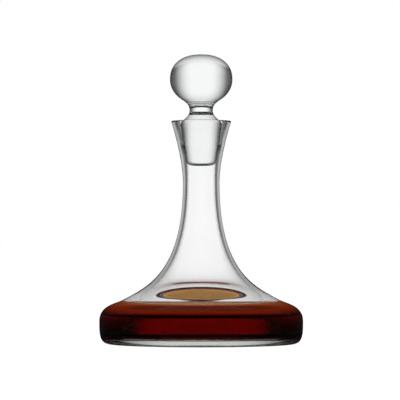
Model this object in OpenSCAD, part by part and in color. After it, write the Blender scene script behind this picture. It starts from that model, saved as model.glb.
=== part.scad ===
// A ships decanter: a broad, low-bellied bottle of clear glass with a flared neck,
// a solid glass ball stopper whose tapered plug drops into that neck, and a fill of red wine.
// Sizes are in millimetres. +Z is up and the origin is the centre of the foot, on the table.
// Every piece is a body of revolution about Z.

/* [Bottle outline] */
// Height of the rim above the table
rim_height = 205; // [190:1:225]
// Outer radius of the rim
rim_radius = 27.5; // [26:0.5:32]
// Lean of the neck at the rim, in degrees from upright
rim_lean = 17; // [12:1:24]
// Rounding of the rim's two edges
rim_round = 0.9; // [0.4:0.1:1.4]
// Outer radius of the narrowest part of the neck
neck_radius = 16.8; // [15:0.2:20]
// Height of the shoulder's turn, from hollow to rounded, above the widest part of the belly
shoulder_rise = 19.5; // [16:0.5:26]
// Distance of the shoulder's turn inside the widest part of the belly
shoulder_inset = 21.7; // [16:0.1:28]
// Slope of the shoulder at that turn, in degrees from level
shoulder_slope = 28.5; // [22:0.5:35]
// Height of the widest part of the belly above the table
belly_height = 21; // [17:0.5:26]
// Outer radius of the widest part of the belly
belly_radius = 93.7; // [85:0.1:105]
// Distance of the foot's edge inside the widest part of the belly
foot_inset = 9; // [6:0.5:14]
// Radius of the shallow hollow under the foot
hollow_radius = 56; // [40:1:75]
// Height of that hollow at its middle
hollow_height = 2.5; // [1:0.1:4]

/* [Glass thickness] */
// Wall at the rim, measured across its flat top
rim_wall = 3.9; // [3:0.1:5]
// Wall at the narrowest part of the neck
neck_wall = 3.5; // [2.5:0.1:4.5]
// Wall at the shoulder's turn
shoulder_wall = 7; // [5:0.1:8]
// Slope of the bowl's inside behind that turn, in degrees from level
bowl_slope = 32; // [25:0.5:36]
// Wall at the widest part of the belly
belly_wall = 4; // [3:0.1:6]
// Glass between the wine and the table, at the edge of the foot
floor_thickness = 6.2; // [5:0.1:9]
// Height of the floor's middle above its edge
floor_rise = 4.8; // [2:0.1:8]

/* [Stopper seat] */
// Taper of the seat and the plug, in degrees a side
plug_taper = 8.6; // [6:0.1:10]
// Depth of the seat's lower end below the rim
seat_depth = 34; // [28:0.1:40]
// Length of the ground seat in the neck
seat_length = 11; // [8:0.5:16]
// Extra bore radius at the seat's lower end, over the narrowest bore
seat_step = 1.25; // [0.8:0.05:2]
// Drop from the seat's lower end to the narrowest part of the neck
neck_drop = 23; // [18:0.1:30]
// Clearance between the plug and its seat, square to the glass
seat_gap = 0.1; // [0.05:0.05:0.3]

/* [Stopper] */
// Length of the plug that reaches below the seat
plug_reach = 6.3; // [4:0.1:9]
// Length of the plug's tapered side, from its bottom to its top
plug_length = 36.3; // [30:0.1:42]
// Rounding of the plug's bottom edge
plug_round = 3.8; // [2:0.1:5]
// Radius of the skirt where it turns from hollow to rounded
skirt_radius = 16; // [14:0.1:17.5]
// Height of that turn above the plug's top
skirt_rise = 5; // [3:0.1:7]
// Radius of the narrowest part of the stem
stem_radius = 10.7; // [8:0.1:13]
// Height of the stem's narrowest part above the plug's top
stem_rise = 13.5; // [10:0.1:18]
// Height of the ball's underside above the stem's narrowest part
ball_rise = 5.1; // [3:0.1:8]
// Radius of the ball seen from above
ball_radius = 28.8; // [24:0.1:33]
// Half of the ball's height
ball_half_height = 23.3; // [20:0.1:30]

/* [Wine] */
// Depth of the wine above the edge of the bottle's floor
wine_depth = 27.3; // [12:0.1:50]
// Clearance between the wine and the glass
wine_gap = 0.1; // [0.05:0.05:0.3]

/* [Hidden] */
$fn = 96;

// Straight steps in which each curve of an outline is drawn
curve_steps = 24;
// Part of the ball's underside, in degrees below its middle, that shows above the stem's fillet
ball_join = 52;
// Slope of the skirt where it turns from hollow to rounded, in degrees from level
skirt_slope = 45;
// Power that flattens the top of the ball: 1 keeps it an ellipse and less makes it squarer
ball_crown = 0.87;
// Tilt of the belly's curve where it runs into the foot, in degrees
foot_tilt = 5;
// Fullness that draws a quarter turn as a round corner
quarter_full = 0.39;

// Heights that follow from the sizes above
seat_low = rim_height - seat_depth;
seat_top = seat_low + seat_length;
neck_height = seat_low - neck_drop;
shoulder_height = belly_height + shoulder_rise;
wine_level = floor_thickness + wine_depth;
plug_low = seat_low - plug_reach;
plug_top = plug_low + plug_length;
stem_height = plug_top + stem_rise;
ball_height = stem_height + ball_rise + ball_half_height;

// Radii that follow from the sizes above
rim_bore = rim_radius - rim_wall;
bore_radius = neck_radius - neck_wall;
seat_low_radius = bore_radius + seat_step;
seat_top_radius = seat_low_radius + seat_length * tan(plug_taper);
plug_low_radius = seat_low_radius - seat_gap / cos(plug_taper) - plug_reach * tan(plug_taper);
plug_top_radius = plug_low_radius + plug_length * tan(plug_taper);
foot_radius = belly_radius - foot_inset;

// Headings along an outline, and a heading turned to the left by an angle
outward = [1, 0];
upward = [0, 1];
inward = -outward;
downward = -upward;
function turned(heading, angle) = [
    heading[0] * cos(angle) - heading[1] * sin(angle),
    heading[0] * sin(angle) + heading[1] * cos(angle)
];

// A station is one stop along an outline: its place, its heading there, and how full the curves before
// and after it are, as a part of the straight distance to the next stop
function station(r, z, heading, full_before, full_after) = [r, z, heading, full_before, full_after];
function place(s) = [s[0], s[1]];
function heading(s) = s[2];

// The place at a depth square to an outline, on its right-hand side
function below(at, along, depth) = at + depth * [along[1], -along[0]] / norm(along);

// The cubic curve between two stations and its direction, at part t of the way
function handle_out(a, b) = place(a) + a[4] * norm(place(b) - place(a)) * heading(a);
function handle_in(a, b) = place(b) - b[3] * norm(place(b) - place(a)) * heading(b);
function curve_at(a, b, t) =
    pow(1 - t, 3) * place(a) + 3 * t * pow(1 - t, 2) * handle_out(a, b)
    + 3 * t * t * (1 - t) * handle_in(a, b) + pow(t, 3) * place(b);
function direction_at(a, b, t) =
    pow(1 - t, 2) * (handle_out(a, b) - place(a)) + 2 * t * (1 - t) * (handle_in(a, b) - handle_out(a, b))
    + t * t * (place(b) - handle_in(a, b));

// Curves through a list of stations, sunk by a depth, with the ends that they share given once
function curves(stations, depth = 0) = [
    for (k = [0:len(stations) - 2])
        for (i = [(k == 0 ? 0 : 1):curve_steps])
            let (a = stations[k], b = stations[k + 1], t = i / curve_steps)
            below(curve_at(a, b, t), direction_at(a, b, t), depth)
];
function backwards(points) = [for (i = [len(points) - 1:-1:0]) points[i]];

// Stations down the outside of the bottle, from the flat top of its rim to its foot
rim_flat_end = station(rim_radius - rim_round, rim_height, outward, 0, quarter_full);
rim_edge = station(rim_radius, rim_height - rim_round, turned(downward, -rim_lean), quarter_full, 0.6);
neck = station(neck_radius, neck_height, downward, 0.09, 0.69);
shoulder = station(belly_radius - shoulder_inset, shoulder_height, turned(outward, -shoulder_slope), 0.2, 0.25);
belly = station(belly_radius, belly_height, downward, 0.5, 0.5);
foot = station(foot_radius, 0, turned(inward, foot_tilt), 0.4, 0);

// Stations across the hollow under the foot
hollow_edge = station(hollow_radius, 0, inward, 0, 0.4);
hollow_middle = station(0, hollow_height, inward, 0.4, 0);

// Stations down the inside of the rim to the seat's upper end
rim_flat_start = station(rim_bore + rim_round, rim_height, inward, 0, quarter_full);
rim_inside = station(rim_bore, rim_height - rim_round, turned(downward, -rim_lean), quarter_full, 0.5);
seat_end = station(seat_top_radius, seat_top, turned(downward, -plug_taper), 0.12, 0);

// Stations down the inside of the bottle from the seat's lower end to the middle of its domed floor
seat_start = station(seat_low_radius, seat_low, turned(downward, -plug_taper), 0, 0.35);
bore = station(bore_radius, neck_height, downward, 0.35, 0.75);
bowl_turn = below(place(shoulder), heading(shoulder), shoulder_wall);
bowl_shoulder = station(bowl_turn[0], bowl_turn[1], turned(outward, -bowl_slope), 0.08, 0.25);
bowl_belly = station(belly_radius - belly_wall, belly_height, downward, 0.5, 0.5);
floor_edge = station(foot_radius, floor_thickness, inward, 0.45, 0.4);
floor_middle = station(0, floor_thickness + floor_rise, inward, 0.4, 0);
bowl_stations = [bore, bowl_shoulder, bowl_belly, floor_edge, floor_middle];

// The bottle's outline: down the outside, across the hollow foot, over the domed floor and up the inside
module decanter()
    color("lightcyan")
        rotate_extrude()
            polygon(concat(
                curves([rim_flat_end, rim_edge, neck, shoulder, belly, foot]),
                curves([hollow_edge, hollow_middle]),
                backwards(curves(concat([seat_start], bowl_stations))),
                backwards(curves([rim_flat_start, rim_inside, seat_end]))
            ));

// Places over the ball, from its flattened top to where the stem's fillet meets it
ball_points = [
    for (i = [0:curve_steps - 1])
        let (angle = 90 - (90 + ball_join) * i / curve_steps, power = angle > 0 ? ball_crown : 1)
        [ball_radius * pow(cos(angle), power), ball_height + ball_half_height * pow(sin(angle), power)]
];

// Stations in to the stem, out over the skirt and down to the plug's top, then round the plug's bottom
ball_end = station(
    ball_radius * cos(ball_join),
    ball_height - ball_half_height * sin(ball_join),
    turned(inward, atan2(ball_half_height * cos(ball_join), ball_radius * sin(ball_join))),
    0, 0.45
);
stem = station(stem_radius, stem_height, downward, 0.4, 0.4);
skirt = station(skirt_radius, plug_top + skirt_rise, turned(outward, -skirt_slope), 0.35, 0.3);
plug_shoulder = station(plug_top_radius, plug_top, turned(downward, -plug_taper), 0.35, 0);
plug_side_end = station(
    plug_low_radius + plug_round * tan(plug_taper),
    plug_low + plug_round,
    turned(downward, -plug_taper),
    0, quarter_full
);
plug_bottom = station(plug_low_radius - plug_round, plug_low, inward, quarter_full, 0);

// The stopper's outline: over the ball, in to the stem, out over the skirt and down the plug
module stopper()
    color("azure")
        rotate_extrude()
            polygon(concat(
                ball_points,
                curves([ball_end, stem, skirt, plug_shoulder]),
                curves([plug_side_end, plug_bottom]),
                [[0, plug_low]]
            ));

// The wine fills the bowl up to its level
module wine()
    color("darkred")
        rotate_extrude()
            intersection() {
                polygon(concat([[0, neck_height]], curves(bowl_stations, wine_gap)));
                square([belly_radius, wine_level]);
            }

decanter();
stopper();
wine();
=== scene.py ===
# A ships decanter of clear glass with its ball stopper and a fill of red wine, dressed around the frame.
# Lengths are in metres. +Z is up, +X is to the right in the photograph and +Y points away from the camera.
import math

import bmesh
import bpy
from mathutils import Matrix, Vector
from mathutils.bvhtree import BVHTree


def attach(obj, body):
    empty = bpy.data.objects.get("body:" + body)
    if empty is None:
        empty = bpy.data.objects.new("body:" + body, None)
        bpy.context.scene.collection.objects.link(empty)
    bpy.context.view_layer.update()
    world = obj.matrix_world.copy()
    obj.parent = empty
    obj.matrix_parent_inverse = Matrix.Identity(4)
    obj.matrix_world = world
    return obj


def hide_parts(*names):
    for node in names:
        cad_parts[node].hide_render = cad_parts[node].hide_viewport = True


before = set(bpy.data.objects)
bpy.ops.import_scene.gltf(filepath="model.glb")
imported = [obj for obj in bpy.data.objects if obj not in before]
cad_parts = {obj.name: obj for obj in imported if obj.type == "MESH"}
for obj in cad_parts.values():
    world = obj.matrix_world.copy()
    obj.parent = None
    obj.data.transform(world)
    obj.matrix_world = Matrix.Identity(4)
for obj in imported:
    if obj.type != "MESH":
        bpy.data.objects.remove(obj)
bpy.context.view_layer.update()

scene = bpy.context.scene
wine_level = max(v.co.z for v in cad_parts["wine"].data.vertices)

# The photograph's frame: the camera stands low and far off and looks very slightly up
IMAGE_SIDE = 400
MIDDLE_PIXEL = IMAGE_SIDE / 2
PIXELS_PER_METRE = 1087.0
AXIS_PIXEL_X = 201.2
TABLE_PIXEL_Y = 343.7
CAMERA_DISTANCE = 2.5
CAMERA_HEIGHT = 0.095
SENSOR_MM = 36.0

# Turning of the outlines
TURN_STEPS = 192
MERGE_DISTANCE = 1e-6

# How far the wine's skin reaches past the CAD gap into the glass, so that no air lies between the two
WINE_REACH = 0.0002
# Glass this near to the wine's skin is wetted by it, and is marked by a value of this name
WET_DISTANCE = 0.0005
NEAR_WINE = "near_wine"

# Light that the two glasses and the wine take up, for red, green and blue, per metre
GLASS_ABSORPTION = (1.0, 0.6, 0.75)
WINE_ABSORPTION = (14.5, 34.0, 54.0)
# The density that a material is given for it, as a part of its strongest colour, so that none is black
DENSITY_MARGIN = 1.1
GLASS_IOR = 1.52
WINE_IOR = 1.34
# Part of a polished surface's head-on gloss that is kept, in air and where glass meets wine
GLOSS_IN_AIR = 0.5
GLOSS_UNDER_WINE = 0.05
# Light that one glass shows when another one mirrors it
GLASS_IN_GLASS = 0.02

# A surface is turned away by 0 where it is seen squarely and by 1 edge-on. Glass is given painted shade, a
# darker colour, while that goes from the first number to the second, and the third is the part of the light
# left past them.
STOPPER_ENTERING_SHADE = (0.15, 0.85, 0.1)
STOPPER_LEAVING_SHADE = (0.12, 0.3, 0.1)
BOTTLE_LEAVING_SHADE = (0.17, 0.3, 0.15)
# The bottle's painted shade lies above the foot of its cone only, where it starts over these heights
CONE_SHADE_LOW = 0.062
CONE_SHADE_HIGH = 0.085
# The outside of its mouth, beside the plug, also gets painted shade where it is half turned away: the
# heights over which that starts, the ranges over which it comes and goes, and the light that is left between
# them
MOUTH_SHADE_LOW = 0.171
MOUTH_SHADE_HIGH = 0.182
MOUTH_SHADE_COMES = (0.24, 0.34)
MOUTH_SHADE_GOES = (0.45, 0.65)
MOUTH_SHADE_LIGHT = 0.07
# A painted line of shade round the foot of the stopper's stem: its height, half its width and the light that
# is left
STEM_SHADE_HEIGHT = 0.2114
STEM_SHADE_HALF = 0.0016
STEM_SHADE_LIGHT = 0.02
# Slow unevenness of hand-made glass: waves per metre and their height
RIPPLES_PER_METRE = 22.0
RIPPLE_HEIGHT = 0.00004

# Painted shade: the wine's upright skin is coloured dark while it is turned away over this range, down to
# this light
SKIN_EDGE_SHADE = (0.03, 0.12, 0.005)
# Skin counts as upright less and less while its normal's height goes from the first to the second
UPRIGHT_START = 0.5
UPRIGHT_END = 0.9
# The colour that upright skin gives what is seen through it
SKIN_TINT = (1.0, 0.2, 0.5)
# Painted shade: the deep colour given to wine that faces up, the heights of its normal over which that
# starts, and the range of turning away over which it ends
FACING_UP_SHADE_TINT = (0.12, 0.002, 0.004)
FACE_UP_START = 0.3
FACE_UP_END = 0.7
FACING_UP_SHADE_FADE_START = 0.74
FACING_UP_SHADE_FADE_END = 0.82
# Two bands of painted shade round the skin: the heights of their middles, half their width and the light
# that is left
SHADE_BAND_HEIGHTS = (0.0268, 0.0103)
SHADE_BAND_HALF = 0.0017
SHADE_BAND_LIGHT = 0.04
# A painted glow, an emission, on the wine's thin edge: its colour at the top, and the light's way in the
# wine per depth
PAINTED_GLOW_COLOUR = (0.34, 0.095, 0.036)
PAINTED_GLOW_PATH = 18.0
# That glow is weak where the skin is seen squarely, up to a first range, and where it is far turned away,
# past a second one. The third number of each is the part of the glow that is left there.
PAINTED_GLOW_SQUARE = (0.1, 0.22, 0.1)
PAINTED_GLOW_ASLANT = (0.3, 0.36, 0.25)
# The wine's level top: how thin a layer counts as top
TOP_LAYER = 0.00003
# It comes to bend light and mirror none while it is turned away over this range, and then lets through
# these parts of red, green and blue
TOP_BEND_START = 0.84
TOP_BEND_END = 0.88
TOP_TINT = (0.85, 1.0, 0.75)

# The studio that the glass shows, the same in front and behind: a bright sweep, darker flanks and open
# sides, by their angles from straight ahead
SWEEP_EDGE = math.radians(11)
FLANK_START = math.radians(50)
FLANK_LIGHT = 0.2
FLANK_END = math.radians(70)
SIDE_START = math.radians(84)
# The angles over which its ceiling turns dark, and the ceiling's light
CEILING_START = math.radians(35)
CEILING_END = math.radians(60)
CEILING_LIGHT = 0.01
# Its light where the glass mirrors it, and the part of it left where the glass mirrored it before
MIRROR_LIGHT = 0.01
ONCE_MIRRORED = 0.7

# The floor: its size, its gap below the foot, and how far across the axis its sweep's edges start
FLOOR_SIDE = 14.0
FLOOR_DROP = 0.0003
SWEEP_PIVOT = 0.1
# The radii over which the floor's lit middle ends, and over which the shade under the foot ends
LIT_RADIUS = 0.5
LIT_END = 1.0
FOOT_SHADE_START = 0.075
FOOT_SHADE_END = 0.1
FOOT_SHADE_LIGHT = 0.85
# A ring of painted shadow on it round the foot, as the glass shows it: where it comes and goes, and its
# light
SHADOW_RING_COMES = (0.095, 0.105)
SHADOW_RING_GOES = (0.12, 0.14)
SHADOW_RING_LIGHT = 0.03
# The floor as the camera sees it: its own white, and the part that the light and shadow make
FLOOR_GLOW = 0.95
FLOOR_DIFFUSE = 0.12
# The grey with which it sends soft light back
FLOOR_BOUNCE = 0.85

# Bounces that let light through every layer of glass and wine
LIGHT_BOUNCES = 32
MIRROR_BOUNCES = 16


def grey(level):
    return (level, level, level, 1.0)


class Tree:
    """Short ways to add nodes to one node tree."""

    def __init__(self, tree):
        self.nodes = tree.nodes
        self.links = tree.links

    def add(self, kind, **settings):
        node = self.nodes.new(kind)
        for key, value in settings.items():
            setattr(node, key, value)
        return node

    def feed(self, socket, source):
        """Links a socket to another one, or sets it to a plain value."""
        if isinstance(source, bpy.types.NodeSocket):
            self.links.new(source, socket)
        else:
            socket.default_value = source

    def math(self, operation, *values):
        node = self.add("ShaderNodeMath", operation=operation)
        for socket, value in zip(node.inputs, values):
            self.feed(socket, value)
        return node.outputs[0]

    def times(self, product, *factors):
        for factor in factors:
            product = self.math("MULTIPLY", product, factor)
        return product

    def opposite(self, share):
        """1 where the share is 0 and 0 where it is 1."""
        return self.math("SUBTRACT", 1.0, share)

    def blend(self, share, first, second):
        """first where the share is 0 and second where it is 1."""
        return self.math("ADD", first, self.times(share, self.math("SUBTRACT", second, first)))

    def step(self, value, start, end, low, high):
        """A smooth change from low to high while the value goes from start to end."""
        node = self.add("ShaderNodeMapRange", interpolation_type="SMOOTHSTEP")
        given = {"Value": value, "From Min": start, "From Max": end, "To Min": low, "To Max": high}
        for name, source in given.items():
            self.feed(node.inputs[name], source)
        return node.outputs["Result"]

    def window(self, value, comes, goes):
        """1 between two ranges of the value, rising from 0 over one and falling to 0 over the other."""
        return self.times(self.step(value, *comes, 0.0, 1.0), self.step(value, *goes, 1.0, 0.0))

    def band(self, value, middle, half_width):
        """1 where the value is near the middle, falling to 0 at half the width from it."""
        distance = self.math("ABSOLUTE", self.math("SUBTRACT", value, middle))
        return self.step(distance, half_width / 2, half_width, 1.0, 0.0)

    def split(self, vector):
        node = self.add("ShaderNodeSeparateXYZ")
        self.feed(node.inputs[0], vector)
        return node.outputs

    def colour(self, parts):
        """One colour from its red, green and blue."""
        node = self.add("ShaderNodeCombineColor")
        for socket, part in zip(node.inputs, parts):
            self.feed(socket, part)
        return node.outputs[0]

    def place(self):
        """X, Y and Z of a point on the surface."""
        return self.split(self.add("ShaderNodeTexCoord").outputs["Object"])

    def normal(self):
        """X, Y and Z of the surface's direction."""
        return self.split(self.add("ShaderNodeNewGeometry").outputs["True Normal"])

    def turned_away(self):
        """0 where the surface is seen squarely and 1 where it is seen edge-on."""
        return self.add("ShaderNodeLayerWeight").outputs["Facing"]

    def aslant(self, start, end, left):
        """1 where the surface is seen squarely, and the part left where it is turned away past the end."""
        return self.step(self.turned_away(), start, end, 1.0, left)

    def from_inside(self):
        """1 for light that meets the surface from inside its piece, else 0."""
        return self.add("ShaderNodeNewGeometry").outputs["Backfacing"]

    def light_path(self):
        return self.add("ShaderNodeLightPath").outputs

    def shader(self, kind, **inputs):
        node = self.add(kind)
        for name, value in inputs.items():
            self.feed(node.inputs[name], value)
        return node.outputs[0]

    def mix(self, share, first, second):
        """The first shader where the share is 0 and the second where it is 1."""
        node = self.add("ShaderNodeMixShader")
        for socket, value in zip(node.inputs, (share, first, second)):
            self.feed(socket, value)
        return node.outputs[0]


def all_parts(bm):
    return bm.verts[:] + bm.edges[:] + bm.faces[:]


def outline_of(node):
    """The node's outline in the XZ plane, on the +X side, cut from a merged copy of its solid."""
    bm = bmesh.new()
    bm.from_mesh(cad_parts[node].data)
    bmesh.ops.remove_doubles(bm, verts=bm.verts[:], dist=MERGE_DISTANCE)
    bmesh.ops.bisect_plane(
        bm, geom=all_parts(bm), dist=MERGE_DISTANCE, plane_co=(0, 0, 0), plane_no=(0, 1, 0),
        clear_inner=True, clear_outer=True,
    )
    bmesh.ops.bisect_plane(
        bm, geom=all_parts(bm), dist=MERGE_DISTANCE, plane_co=(0, 0, 0), plane_no=(1, 0, 0),
        clear_inner=True,
    )
    return bm


def turned(bm):
    """Turns an outline into a closed, smooth body about Z, with its poles merged and its faces outward."""
    bmesh.ops.spin(
        bm, geom=bm.verts[:] + bm.edges[:], cent=(0, 0, 0), axis=(0, 0, 1),
        angle=2 * math.pi, steps=TURN_STEPS, use_merge=True,
    )
    bmesh.ops.remove_doubles(bm, verts=bm.verts[:], dist=MERGE_DISTANCE)
    bmesh.ops.dissolve_degenerate(bm, edges=bm.edges[:], dist=MERGE_DISTANCE)
    bmesh.ops.recalc_face_normals(bm, faces=bm.faces[:])
    for face in bm.faces:
        face.smooth = True
    return bm


def piece(name, bm, material, body, node):
    """One dressed piece that rides on a body and stands in for a node of the frame."""
    mesh = bpy.data.meshes.new(name)
    bm.to_mesh(mesh)
    bm.free()
    mesh.materials.append(material)
    made = bpy.data.objects.new(name, mesh)
    scene.collection.objects.link(made)
    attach(made, body)
    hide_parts(node)


def ripple_group():
    """The normal of glass that is very slightly uneven, as hand-made glass is."""
    group = bpy.data.node_groups.new("glass_ripples", "ShaderNodeTree")
    for name in ("Waves per metre", "Height"):
        group.interface.new_socket(name, in_out="INPUT", socket_type="NodeSocketFloat")
    group.interface.new_socket("Normal", in_out="OUTPUT", socket_type="NodeSocketVector")
    tree = Tree(group)
    given = tree.add("NodeGroupInput").outputs
    noise = tree.add("ShaderNodeTexNoise")
    tree.feed(noise.inputs["Vector"], tree.add("ShaderNodeTexCoord").outputs["Object"])
    tree.feed(noise.inputs["Scale"], given["Waves per metre"])
    tree.feed(noise.inputs["Detail"], 0.0)
    bump = tree.add("ShaderNodeBump")
    tree.feed(bump.inputs["Distance"], given["Height"])
    tree.feed(bump.inputs["Height"], noise.outputs["Fac"])
    tree.feed(tree.add("NodeGroupOutput").inputs["Normal"], bump.outputs["Normal"])
    return group


ripples = ripple_group()


def clear_material(name, ior, absorption):
    """A polished clear solid that takes up light, with its tree and its shader's inputs."""
    material = bpy.data.materials.new(name)
    material.use_nodes = True
    nodes = material.node_tree.nodes
    shader = nodes["Principled BSDF"].inputs
    shader["Roughness"].default_value = 0.0
    shader["IOR"].default_value = ior
    shader["Transmission Weight"].default_value = 1.0
    tree = Tree(material.node_tree)
    density = DENSITY_MARGIN * max(absorption)
    passed = [1 - part / density for part in absorption]
    volume = tree.shader("ShaderNodeVolumeAbsorption", Color=(*passed, 1.0), Density=density)
    tree.feed(nodes["Material Output"].inputs["Volume"], volume)
    return material, tree, shader


def from_a_mirror(tree):
    """1 for light that meets a surface from outside just after another piece mirrored it, else 0."""
    light = tree.light_path()
    not_bent = tree.math("SUBTRACT", light["Is Glossy Ray"], light["Is Transmission Ray"])
    mirrored = tree.math("MAXIMUM", not_bent, 0.0)
    return tree.times(mirrored, tree.opposite(tree.from_inside()))


def turned_out(tree):
    """1 on surfaces that face away from the axis, else 0."""
    spot = tree.place()
    normal = tree.normal()
    outward = [tree.times(spot[axis], normal[axis]) for axis in ("X", "Y")]
    return tree.math("GREATER_THAN", tree.math("ADD", *outward), 0.0)


def finish_glass(tree, shader, passed):
    """Gives a glass what it lets through with its painted shade, next to none in another glass's mirror, and
    its ripples.
    """
    tree.feed(shader["Base Color"], tree.blend(from_a_mirror(tree), passed, GLASS_IN_GLASS))
    group = tree.add("ShaderNodeGroup", node_tree=ripples)
    tree.feed(group.inputs["Waves per metre"], RIPPLES_PER_METRE)
    tree.feed(group.inputs["Height"], RIPPLE_HEIGHT)
    tree.feed(shader["Normal"], group.outputs["Normal"])


def stopper_glass():
    """Glass with painted shade towards the ball's edge, and a painted line of shade round the foot of the
    stem.
    """
    material, tree, shader = clear_material("stopper_glass", GLASS_IOR, GLASS_ABSORPTION)
    shader["Specular Tint"].default_value = grey(GLOSS_IN_AIR)
    # Painted shade: the colour darkens where the surface is seen aslant, on the way in and on the way out
    entering = tree.aslant(*STOPPER_ENTERING_SHADE)
    leaving = tree.aslant(*STOPPER_LEAVING_SHADE)
    passed = tree.blend(tree.from_inside(), entering, leaving)
    # Painted shade: a dark line round the foot of the stem
    in_stem_shade = tree.band(tree.place()["Z"], STEM_SHADE_HEIGHT, STEM_SHADE_HALF)
    finish_glass(tree, shader, tree.times(passed, tree.blend(in_stem_shade, 1.0, STEM_SHADE_LIGHT)))
    return material


def bottle_glass():
    """Glass with painted lines of shade along neck and mouth, whose inside hardly mirrors where wine wets
    it.
    """
    material, tree, shader = clear_material("bottle_glass", GLASS_IOR, GLASS_ABSORPTION)
    height = tree.place()["Z"]
    near_wine = tree.add("ShaderNodeAttribute", attribute_name=NEAR_WINE).outputs["Fac"]
    touched = tree.math("GREATER_THAN", near_wine, 0.0)
    wet = tree.times(touched, tree.math("LESS_THAN", height, wine_level))
    tree.feed(shader["Specular Tint"], tree.blend(wet, GLOSS_IN_AIR, GLOSS_UNDER_WINE))

    # Painted shade: the cone's inside is darker where it is seen aslant from within
    from_inside = tree.from_inside()
    leaving = tree.times(from_inside, tree.step(height, CONE_SHADE_LOW, CONE_SHADE_HIGH, 0.0, 1.0))
    passed = tree.blend(leaving, 1.0, tree.aslant(*BOTTLE_LEAVING_SHADE))

    # Painted shade: dark lines on the outside of the mouth, beside the plug, where it is half turned away
    entering = tree.times(turned_out(tree), tree.opposite(from_inside))
    at_mouth = tree.step(height, MOUTH_SHADE_LOW, MOUTH_SHADE_HIGH, 0.0, 1.0)
    half_aslant = tree.window(tree.turned_away(), MOUTH_SHADE_COMES, MOUTH_SHADE_GOES)
    finish_glass(tree, shader, tree.blend(tree.times(entering, at_mouth, half_aslant), passed, MOUTH_SHADE_LIGHT))
    return material


def red_wine():
    """Wine with painted shade and bands on its upright skin and where it faces up, a painted glow on its
    thin edge and a level top.
    """
    material, tree, shader = clear_material("red_wine", WINE_IOR, WINE_ABSORPTION)
    shader["Specular Tint"].default_value = grey(GLOSS_UNDER_WINE)
    height = tree.place()["Z"]
    normal_height = tree.normal()["Z"]
    turned_away = tree.turned_away()
    from_outside = tree.opposite(tree.from_inside())

    # The painted shade of the skin, dark where it is upright and seen aslant, and of its painted bands
    upright = tree.step(tree.math("ABSOLUTE", normal_height), UPRIGHT_START, UPRIGHT_END, 1.0, 0.0)
    skin_band_shade = 1.0
    for middle in SHADE_BAND_HEIGHTS:
        in_shade_band = tree.times(upright, tree.band(height, middle, SHADE_BAND_HALF))
        skin_band_shade = tree.times(skin_band_shade, tree.blend(in_shade_band, 1.0, SHADE_BAND_LIGHT))
    skin_light = tree.times(tree.blend(upright, 1.0, tree.aslant(*SKIN_EDGE_SHADE)), skin_band_shade)

    # The level top, which shows nothing to what the glass mirrors down on it
    is_top = tree.times(tree.math("GREATER_THAN", height, wine_level - TOP_LAYER), from_outside)
    top_light = tree.opposite(from_a_mirror(tree))

    # The colour of both, with painted shade where the wine faces up and isn't seen very flat
    facing_up = tree.times(from_outside, tree.step(normal_height, FACE_UP_START, FACE_UP_END, 0.0, 1.0))
    upward_shade = tree.times(facing_up, tree.step(turned_away, FACING_UP_SHADE_FADE_START, FACING_UP_SHADE_FADE_END, 1.0, 0.0))
    wine_colour = []
    for skin_part, upward_shade_part in zip(SKIN_TINT, FACING_UP_SHADE_TINT):
        skin = tree.times(skin_light, tree.blend(upright, 1.0, skin_part))
        shown = tree.blend(is_top, skin, top_light)
        wine_colour.append(tree.times(shown, tree.blend(upward_shade, 1.0, upward_shade_part)))
    tree.feed(shader["Base Color"], tree.colour(wine_colour))

    # The painted glow of the thin edge, an emission, which fades with the depth and isn't seen in mirrors
    seen_straight = tree.step(tree.light_path()["Glossy Depth"], 0.0, 1.0, 1.0, 0.0)
    by_view = tree.times(tree.step(turned_away, *PAINTED_GLOW_SQUARE, 1.0), tree.aslant(*PAINTED_GLOW_ASLANT))
    painted_glow_light = tree.times(seen_straight, by_view, skin_band_shade, tree.opposite(is_top))
    minus_depth = tree.math("SUBTRACT", height, wine_level)
    painted_glow = []
    for part, taken in zip(PAINTED_GLOW_COLOUR, WINE_ABSORPTION):
        left = tree.math("EXPONENT", tree.times(minus_depth, taken * PAINTED_GLOW_PATH))
        painted_glow.append(tree.times(painted_glow_light, left, part))
    tree.feed(shader["Emission Color"], tree.colour(painted_glow))
    shader["Emission Strength"].default_value = 1.0

    # Seen very flat, the top bends light and mirrors none
    top_colour = tree.colour([tree.times(top_light, part) for part in TOP_TINT])
    bent = tree.shader("ShaderNodeBsdfRefraction", Color=top_colour, Roughness=0.0, IOR=WINE_IOR)
    bends = tree.times(is_top, tree.step(turned_away, TOP_BEND_START, TOP_BEND_END, 0.0, 1.0))
    nodes = material.node_tree.nodes
    surface = tree.mix(bends, nodes["Principled BSDF"].outputs[0], bent)
    tree.feed(nodes["Material Output"].inputs["Surface"], surface)
    return material


def studio_light(tree, sweep_angle, side_angle):
    """The light of sweep, flanks and sides at an angle from straight ahead."""
    sweep = tree.step(sweep_angle, SWEEP_EDGE, FLANK_START, 1.0, FLANK_LIGHT)
    sides = tree.step(side_angle, FLANK_END, SIDE_START, 0.0, 1.0)
    return tree.math("MAXIMUM", sweep, sides)


def light_for_glass(tree, through):
    """The studio's light as glass shows it: what comes through, or next to none in its mirror."""
    light = tree.light_path()
    was_mirrored = tree.math("MINIMUM", light["Glossy Depth"], 1.0)
    through = tree.times(through, tree.blend(was_mirrored, 1.0, ONCE_MIRRORED))
    return tree.blend(light["Is Transmission Ray"], MIRROR_LIGHT, through)


def shown_by_glass(tree):
    """1 for what glass mirrors or lets through, else 0."""
    light = tree.light_path()
    return tree.math("MAXIMUM", light["Is Glossy Ray"], light["Is Transmission Ray"])


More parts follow.
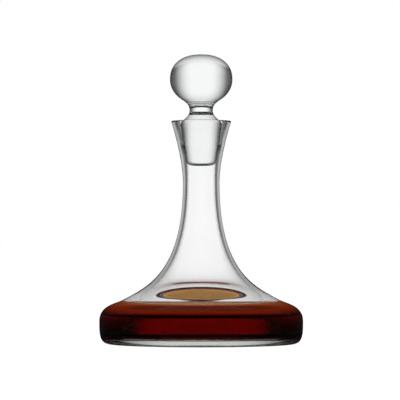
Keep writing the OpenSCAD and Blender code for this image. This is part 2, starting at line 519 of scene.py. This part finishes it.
def floor_white():
    """White and shaded to the camera, pale to soft light, and a studio's floor to the glass."""
    material = bpy.data.materials.new("studio_floor")
    material.use_nodes = True
    nodes = material.node_tree.nodes
    nodes.remove(nodes["Principled BSDF"])
    tree = Tree(material.node_tree)
    spot = tree.place()
    ahead = tree.math("ADD", tree.math("ABSOLUTE", spot["Y"]), SWEEP_PIVOT)
    angle = tree.math("ARCTAN2", tree.math("ABSOLUTE", spot["X"]), ahead)
    squares = [tree.times(spot[axis], spot[axis]) for axis in ("X", "Y")]
    radius = tree.math("SQRT", tree.math("ADD", *squares))

    lit_middle = tree.step(radius, LIT_RADIUS, LIT_END, 1.0, 0.0)
    lit = tree.math("MAXIMUM", studio_light(tree, angle, angle), lit_middle)
    under_foot = tree.step(radius, FOOT_SHADE_START, FOOT_SHADE_END, FOOT_SHADE_LIGHT, 1.0)
    # Painted shadow: a dark ring on the floor round the foot
    in_shadow_ring = tree.window(radius, SHADOW_RING_COMES, SHADOW_RING_GOES)
    through = tree.times(lit, under_foot, tree.blend(in_shadow_ring, 1.0, SHADOW_RING_LIGHT))
    to_glass = tree.shader("ShaderNodeEmission", Strength=light_for_glass(tree, through))

    to_soft_light = tree.shader("ShaderNodeBsdfDiffuse", Color=grey(FLOOR_BOUNCE))
    to_camera = tree.add("ShaderNodeAddShader")
    tree.feed(to_camera.inputs[0], tree.shader("ShaderNodeBsdfDiffuse", Color=grey(FLOOR_DIFFUSE)))
    tree.feed(to_camera.inputs[1], tree.shader("ShaderNodeEmission", Strength=FLOOR_GLOW))
    to_others = tree.mix(shown_by_glass(tree), to_soft_light, to_glass)
    surface = tree.mix(tree.light_path()["Is Camera Ray"], to_others, to_camera.outputs[0])
    tree.feed(nodes["Material Output"].inputs["Surface"], surface)
    return material


def studio_world():
    """White to the camera and to soft light, and a studio to the glass."""
    world = bpy.data.worlds.new("studio")
    world.use_nodes = True
    world.node_tree.nodes.clear()
    tree = Tree(world.node_tree)
    way = tree.split(tree.add("ShaderNodeTexCoord").outputs["Generated"])
    aside = tree.math("ABSOLUTE", way["X"])
    sweep_angle = tree.math("ARCSINE", aside)
    side_angle = tree.math("ARCTAN2", aside, tree.math("ABSOLUTE", way["Y"]))
    rise = tree.math("ARCSINE", way["Z"])
    ceiling = tree.step(rise, CEILING_START, CEILING_END, 1.0, CEILING_LIGHT)
    through = tree.times(studio_light(tree, sweep_angle, side_angle), ceiling)
    to_glass = tree.shader("ShaderNodeBackground", Color=light_for_glass(tree, through))
    white = tree.shader("ShaderNodeBackground", Color=grey(1.0))
    surface = tree.mix(shown_by_glass(tree), white, to_glass)
    tree.feed(tree.add("ShaderNodeOutputWorld").inputs["Surface"], surface)
    return world


def photo_camera():
    """A camera that puts the object where the photograph has it."""
    lens = bpy.data.cameras.new("camera")
    lens.sensor_width = SENSOR_MM
    lens.lens = PIXELS_PER_METRE * CAMERA_DISTANCE / IMAGE_SIDE * SENSOR_MM
    camera = bpy.data.objects.new("camera", lens)
    side_step = (MIDDLE_PIXEL - AXIS_PIXEL_X) / PIXELS_PER_METRE
    aim_height = (TABLE_PIXEL_Y - MIDDLE_PIXEL) / PIXELS_PER_METRE
    camera.location = (side_step, -CAMERA_DISTANCE, CAMERA_HEIGHT)
    aim = Vector((side_step, 0, aim_height)) - camera.location
    camera.rotation_euler = aim.to_track_quat("-Z", "Y").to_euler()
    scene.collection.objects.link(camera)
    return camera


# The stopper: one solid piece of glass
stopper_bm = turned(outline_of("stopper"))
piece("ball_stopper", stopper_bm, stopper_glass(), "stopper", "stopper")

# The wine: its skin reaches a little into the glass, square to it, and its top stays flat
wine_bm = outline_of("wine")
top_verts = [v for v in wine_bm.verts if v.co.z > wine_level - MERGE_DISTANCE]
rim = max(top_verts, key=lambda v: v.co.x)
under_rim = next(e.other_vert(rim) for e in rim.link_edges if e.other_vert(rim) not in top_verts)
wall = (rim.co - under_rim.co).normalized()
rim.co.x += WINE_REACH / wall.z
turned(wine_bm)
wine_bm.normal_update()
for face in wine_bm.faces:
    if face.calc_center_median().z > wine_level - MERGE_DISTANCE:
        face.smooth = False
skin_verts = [v for v in wine_bm.verts if v.co.z < wine_level - MERGE_DISTANCE]
for vert, push in [(v, WINE_REACH * v.normal) for v in skin_verts]:
    vert.co += push
wine_skin = BVHTree.FromBMesh(wine_bm)
piece("red_wine_fill", wine_bm, red_wine(), "bottle", "wine")

# The bottle, with the places that the wine wets marked for its glass
bottle_bm = turned(outline_of("decanter"))
wet_layer = bottle_bm.verts.layers.float.new(NEAR_WINE)
for vert in bottle_bm.verts:
    *_, distance = wine_skin.find_nearest(vert.co)
    vert[wet_layer] = float(distance < WET_DISTANCE)
piece("decanter_glass", bottle_bm, bottle_glass(), "bottle", "decanter")

# The floor, the studio round it and the camera
bpy.ops.mesh.primitive_plane_add(size=FLOOR_SIDE, location=(0, 0, -FLOOR_DROP))
floor = bpy.context.active_object
floor.name = "studio_floor"
floor.data.materials.append(floor_white())
scene.world = studio_world()
scene.camera = photo_camera()

scene.view_settings.view_transform = "Standard"
scene.cycles.max_bounces = LIGHT_BOUNCES
scene.cycles.transmission_bounces = LIGHT_BOUNCES
scene.cycles.glossy_bounces = MIRROR_BOUNCES
scene.cycles.use_denoising = True
